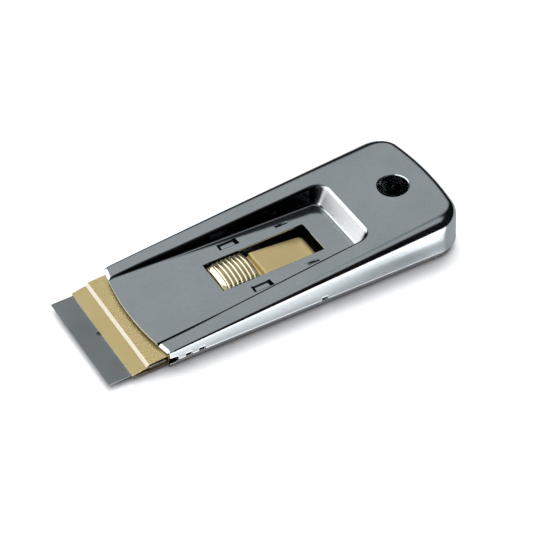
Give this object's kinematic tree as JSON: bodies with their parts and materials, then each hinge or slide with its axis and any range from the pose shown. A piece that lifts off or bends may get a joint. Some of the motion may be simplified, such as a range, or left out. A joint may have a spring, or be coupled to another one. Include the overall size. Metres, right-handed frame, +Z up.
{
  "type": "ceramic hob scraper",
  "caption": "Pressed steel hob scraper: a flat wedge handle with a sunk thumb panel, a sliding ridged button and a retracting razor blade in a gold carrier.",
  "frame": {"origin": "middle of the tool's length and width, on the plane that it lies on, with the blade out", "axes": "+X towards the blade, +Y to one long side, +Z up out of the sunk thumb panel"},
  "size_m": [0.128, 0.0484, 0.0157],
  "materials": {
    "top_chrome": "satin bright plating",
    "bottom_chrome": "satin bright plating",
    "carrier_gold": "yellow passivated, satin",
    "rivet_brass": "satin",
    "spring_gold": "yellow passivated, satin",
    "button_gold": "yellow passivated, bright on the ridges",
    "blade_steel": "ground, dark grey",
    "spine_steel": "bright rolled"
  },
  "bodies": {
    "handle": {"top_shell": "top_chrome", "bottom_shell": "bottom_chrome"},
    "carriage": {"carrier_plate": "carrier_gold", "blade_tray": "carrier_gold", "carrier_rivets": "rivet_brass", "lock_spring": "spring_gold", "razor_blade": "blade_steel", "blade_spine": "spine_steel"},
    "button": {"thumb_button": "button_gold"}
  },
  "joints": [
    {"name": "carriage_slide", "type": "slide", "parent": "handle", "child": "carriage", "axis": [-1, 0, 0], "range_m": [0, 0.022]},
    {"name": "button_press", "type": "slide", "parent": "carriage", "child": "button", "axis": [0, 0, -1], "range_m": [0, 0.0008], "stiffness_N_per_m": 2500, "deforming": ["lock_spring"]}
  ]
}
